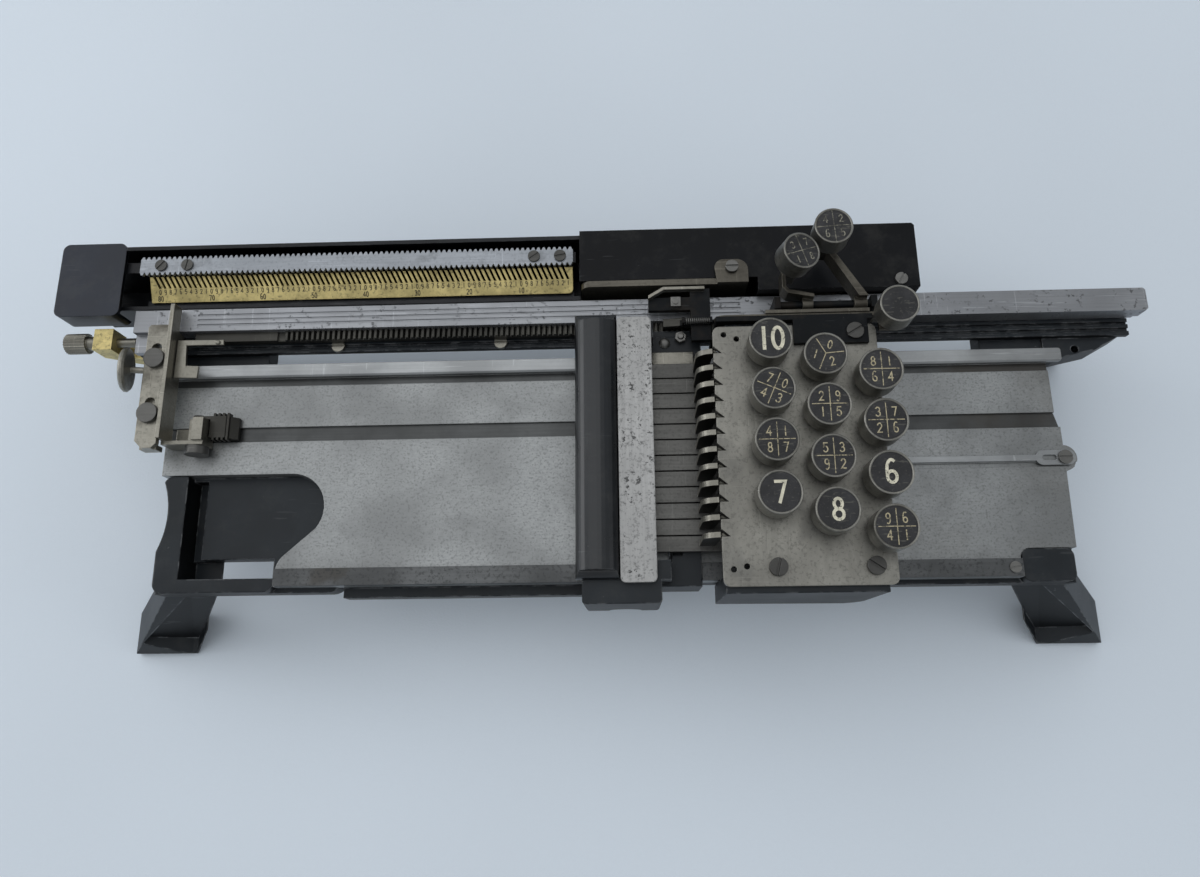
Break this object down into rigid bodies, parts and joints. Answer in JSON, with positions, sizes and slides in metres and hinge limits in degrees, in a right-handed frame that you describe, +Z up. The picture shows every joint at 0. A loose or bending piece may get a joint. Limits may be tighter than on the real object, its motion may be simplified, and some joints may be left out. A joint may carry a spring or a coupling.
{
  "type": "manual card punch",
  "caption": "Hand-operated desk punch for data cards: flat bed on splayed legs, sliding carriage with toothed rack, punch head and a small keyboard of round keys.",
  "frame": {"origin": "centre of the bounding box in plan, at the height of the table under the feet", "axes": "+X along the carriage's travel, to the operator's right; +Y to the rear, away from the operator; +Z up"},
  "size_m": [0.4506, 0.1678, 0.1075],
  "materials": {
    "black_casting": "black enamel on cast iron, satin, worn at edges",
    "black_sheet": "blue-black painted sheet steel, satin",
    "bed_steel": "ground steel, satin, scuffed",
    "guide_steel": "planed steel, satin",
    "bar_steel": "drawn steel, satin",
    "dark_steel": "oiled dark steel",
    "pitted_steel": "bright steel with dark pits",
    "comb_steel": "bright steel",
    "plate_steel": "grey steel, speckled",
    "nickel": "worn warm nickel",
    "brass": "aged brass",
    "screw_steel": "worn nickel-plated steel",
    "bronzed_steel": "browned steel",
    "key_nickel": "worn nickel cup with black insert"
  },
  "bodies": {
    "frame": {"left_end_casting": "black_casting", "right_end_casting": "black_casting", "front_beam": "black_casting", "rear_track": "black_casting", "rear_channel": "black_sheet", "channel_end_cap": "black_sheet", "channel_cover": "black_sheet", "stop_rack": "comb_steel", "column_scale": "brass", "bed_plate": "bed_steel", "rear_card_guide": "guide_steel", "front_card_guide": "guide_steel", "card_strip": "guide_steel", "punch_frame": "black_casting", "punch_cover": "black_sheet", "cover_plate": "pitted_steel", "keyboard_base": "black_casting", "keyboard_plate": "plate_steel", "mechanism_bracket": "black_casting", "end_stop_block": "brass", "screws": "screw_steel"},
    "carriage": {"carriage_bar": "bar_steel", "escapement_rack": "dark_steel", "pusher_arm": "nickel", "carriage_screws": "dark_steel", "card_blade": "nickel"},
    "disc": {"thumb_disc": "nickel"},
    "jaw": {"gripper_jaw": "dark_steel"},
    "drum": {"spring_drum": "bronzed_steel"},
    "dog": {"escapement_dog": "dark_steel"},
    "punch_set": {"punches": "dark_steel"},
    "space_key": {"space_lever": "bronzed_steel"},
    "release_key": {"release_lever": "bronzed_steel"},
    "back_key": {"back_lever": "bronzed_steel"},
    "skip": {"skip_lever": "bronzed_steel"},
    "stop_screw": {"end_stop_screw": "nickel"},
    "key_0_body": {"key_0": "key_nickel"},
    "interposer_0_body": {"interposer_0": "screw_steel"},
    "key_1_body": {"key_1": "key_nickel"},
    "interposer_1_body": {"interposer_1": "screw_steel"},
    "key_2_body": {"key_2": "key_nickel"},
    "interposer_2_body": {"interposer_2": "screw_steel"},
    "key_3_body": {"key_3": "key_nickel"},
    "interposer_3_body": {"interposer_3": "screw_steel"},
    "key_4_body": {"key_4": "key_nickel"},
    "interposer_4_body": {"interposer_4": "screw_steel"},
    "key_5_body": {"key_5": "key_nickel"},
    "interposer_5_body": {"interposer_5": "screw_steel"},
    "key_6_body": {"key_6": "key_nickel"},
    "interposer_6_body": {"interposer_6": "screw_steel"},
    "key_7_body": {"key_7": "key_nickel"},
    "interposer_7_body": {"interposer_7": "screw_steel"},
    "key_8_body": {"key_8": "key_nickel"},
    "interposer_8_body": {"interposer_8": "screw_steel"},
    "key_9_body": {"key_9": "key_nickel"},
    "interposer_9_body": {"interposer_9": "screw_steel"},
    "key_10_body": {"key_10": "key_nickel"},
    "interposer_10_body": {"interposer_10": "screw_steel"},
    "key_11_body": {"key_11": "key_nickel"},
    "interposer_11_body": {"interposer_11": "screw_steel"}
  },
  "joints": [
    {"name": "carriage_slide", "type": "slide", "parent": "frame", "child": "carriage", "axis": [1, 0, 0], "range_m": [0, 0.17459]},
    {"name": "disc_press", "type": "slide", "parent": "carriage", "child": "disc", "axis": [0.9659, 0, -0.2588], "range_m": [0, 0.002], "stiffness_N_per_m": 400, "springref_m": -0.002},
    {"name": "jaw_hinge", "type": "hinge", "parent": "carriage", "child": "jaw", "pos_m": [-0.16148, 0.0025, 0.067], "axis": [0, -1, 0], "range_deg": [0, 4.5]},
    {"name": "drum_spin", "type": "hinge", "parent": "frame", "child": "drum", "pos_m": [0.09468, 0.06701, 0.065], "axis": [0, 0, 1], "range_deg": [0, 791]},
    {"name": "dog_hinge", "type": "hinge", "parent": "frame", "child": "dog", "pos_m": [0.04368, 0.043, 0.071], "axis": [0, 1, 0], "range_deg": [0, 6], "stiffness_Nm_per_rad": 0.02, "springref_deg": -2.86},
    {"name": "punch_slide", "type": "slide", "parent": "frame", "child": "punch_set", "axis": [0, 0, -1], "range_m": [0, 0.0015], "stiffness_N_per_m": 300, "springref_m": -0.002},
    {"name": "key_0_press", "type": "slide", "parent": "frame", "child": "key_0_body", "axis": [0, 0, -1], "range_m": [0, 0.0038], "stiffness_N_per_m": 150, "springref_m": -0.004},
    {"name": "key_1_press", "type": "slide", "parent": "frame", "child": "key_1_body", "axis": [0, 0, -1], "range_m": [0, 0.0038], "stiffness_N_per_m": 150, "springref_m": -0.004},
    {"name": "key_2_press", "type": "slide", "parent": "frame", "child": "key_2_body", "axis": [0, 0, -1], "range_m": [0, 0.0038], "stiffness_N_per_m": 150, "springref_m": -0.004},
    {"name": "key_3_press", "type": "slide", "parent": "frame", "child": "key_3_body", "axis": [0, 0, -1], "range_m": [0, 0.0038], "stiffness_N_per_m": 150, "springref_m": -0.004},
    {"name": "key_4_press", "type": "slide", "parent": "frame", "child": "key_4_body", "axis": [0, 0, -1], "range_m": [0, 0.0038], "stiffness_N_per_m": 150, "springref_m": -0.004},
    {"name": "key_5_press", "type": "slide", "parent": "frame", "child": "key_5_body", "axis": [0, 0, -1], "range_m": [0, 0.0038], "stiffness_N_per_m": 150, "springref_m": -0.004},
    {"name": "key_6_press", "type": "slide", "parent": "frame", "child": "key_6_body", "axis": [0, 0, -1], "range_m": [0, 0.0038], "stiffness_N_per_m": 150, "springref_m": -0.004},
    {"name": "key_7_press", "type": "slide", "parent": "frame", "child": "key_7_body", "axis": [0, 0, -1], "range_m": [0, 0.0038], "stiffness_N_per_m": 150, "springref_m": -0.004},
    {"name": "key_8_press", "type": "slide", "parent": "frame", "child": "key_8_body", "axis": [0, 0, -1], "range_m": [0, 0.0038], "stiffness_N_per_m": 150, "springref_m": -0.004},
    {"name": "key_9_press", "type": "slide", "parent": "frame", "child": "key_9_body", "axis": [0, 0, -1], "range_m": [0, 0.0038], "stiffness_N_per_m": 150, "springref_m": -0.004},
    {"name": "key_10_press", "type": "slide", "parent": "frame", "child": "key_10_body", "axis": [0, 0, -1], "range_m": [0, 0.0038], "stiffness_N_per_m": 150, "springref_m": -0.004},
    {"name": "key_11_press", "type": "slide", "parent": "frame", "child": "key_11_body", "axis": [0, 0, -1], "range_m": [0, 0.0038], "stiffness_N_per_m": 150, "springref_m": -0.004},
    {"name": "interposer_0_slide", "type": "slide", "parent": "frame", "child": "interposer_0_body", "axis": [-1, 0, 0], "range_m": [0, 0.00305]},
    {"name": "interposer_1_slide", "type": "slide", "parent": "frame", "child": "interposer_1_body", "axis": [-1, 0, 0], "range_m": [0, 0.00305]},
    {"name": "interposer_2_slide", "type": "slide", "parent": "frame", "child": "interposer_2_body", "axis": [-1, 0, 0], "range_m": [0, 0.00305]},
    {"name": "interposer_3_slide", "type": "slide", "parent": "frame", "child": "interposer_3_body", "axis": [-1, 0, 0], "range_m": [0, 0.00305]},
    {"name": "interposer_4_slide", "type": "slide", "parent": "frame", "child": "interposer_4_body", "axis": [-1, 0, 0], "range_m": [0, 0.00305]},
    {"name": "interposer_5_slide", "type": "slide", "parent": "frame", "child": "interposer_5_body", "axis": [-1, 0, 0], "range_m": [0, 0.00305]},
    {"name": "interposer_6_slide", "type": "slide", "parent": "frame", "child": "interposer_6_body", "axis": [-1, 0, 0], "range_m": [0, 0.00305]},
    {"name": "interposer_7_slide", "type": "slide", "parent": "frame", "child": "interposer_7_body", "axis": [-1, 0, 0], "range_m": [0, 0.00305]},
    {"name": "interposer_8_slide", "type": "slide", "parent": "frame", "child": "interposer_8_body", "axis": [-1, 0, 0], "range_m": [0, 0.00305]},
    {"name": "interposer_9_slide", "type": "slide", "parent": "frame", "child": "interposer_9_body", "axis": [-1, 0, 0], "range_m": [0, 0.00305]},
    {"name": "interposer_10_slide", "type": "slide", "parent": "frame", "child": "interposer_10_body", "axis": [-1, 0, 0], "range_m": [0, 0.00305]},
    {"name": "interposer_11_slide", "type": "slide", "parent": "frame", "child": "interposer_11_body", "axis": [-1, 0, 0], "range_m": [0, 0.00305]},
    {"name": "space_hinge", "type": "hinge", "parent": "frame", "child": "space_key", "pos_m": [0.05168, 0.0385, 0.084], "axis": [0, 1, 0], "range_deg": [0, 3], "stiffness_Nm_per_rad": 0.4, "springref_deg": -4.58},
    {"name": "release_hinge", "type": "hinge", "parent": "frame", "child": "release_key", "pos_m": [0.08468, 0.0441, 0.084], "axis": [-1, 0, 0], "range_deg": [0, 5], "stiffness_Nm_per_rad": 0.2, "springref_deg": -6.88},
    {"name": "back_hinge", "type": "hinge", "parent": "frame", "child": "back_key", "pos_m": [0.10518, 0.0441, 0.084], "axis": [-1, 0, 0], "range_deg": [0, 6], "stiffness_Nm_per_rad": 0.25, "springref_deg": -6.88},
    {"name": "skip_hinge", "type": "hinge", "parent": "frame", "child": "skip", "pos_m": [0.05708, 0.0649, 0.07], "axis": [0, 0, 1], "range_deg": [0, 1.4], "stiffness_Nm_per_rad": 0.2, "springref_deg": -1.15},
    {"name": "stop_adjust", "type": "slide", "parent": "frame", "child": "stop_screw", "axis": [1, 0, 0], "range_m": [-0.006, 0]}
  ],
  "couplings": [
    {"joint": "jaw_hinge", "follows": "disc_press", "rad_per_m": 38.4},
    {"joint": "drum_spin", "follows": "carriage_slide", "rad_per_m": 78.974},
    {"joint": "interposer_0_slide", "follows": "key_0_press", "ratio": 0.8},
    {"joint": "interposer_1_slide", "follows": "key_1_press", "ratio": 0.8},
    {"joint": "interposer_2_slide", "follows": "key_2_press", "ratio": 0.8},
    {"joint": "interposer_3_slide", "follows": "key_3_press", "ratio": 0.8},
    {"joint": "interposer_4_slide", "follows": "key_4_press", "ratio": 0.8},
    {"joint": "interposer_5_slide", "follows": "key_5_press", "ratio": 0.8},
    {"joint": "interposer_6_slide", "follows": "key_6_press", "ratio": 0.8},
    {"joint": "interposer_7_slide", "follows": "key_7_press", "ratio": 0.8},
    {"joint": "interposer_8_slide", "follows": "key_8_press", "ratio": 0.8},
    {"joint": "interposer_9_slide", "follows": "key_9_press", "ratio": 0.8},
    {"joint": "interposer_10_slide", "follows": "key_10_press", "ratio": 0.8},
    {"joint": "interposer_11_slide", "follows": "key_11_press", "ratio": 0.8}
  ]
}
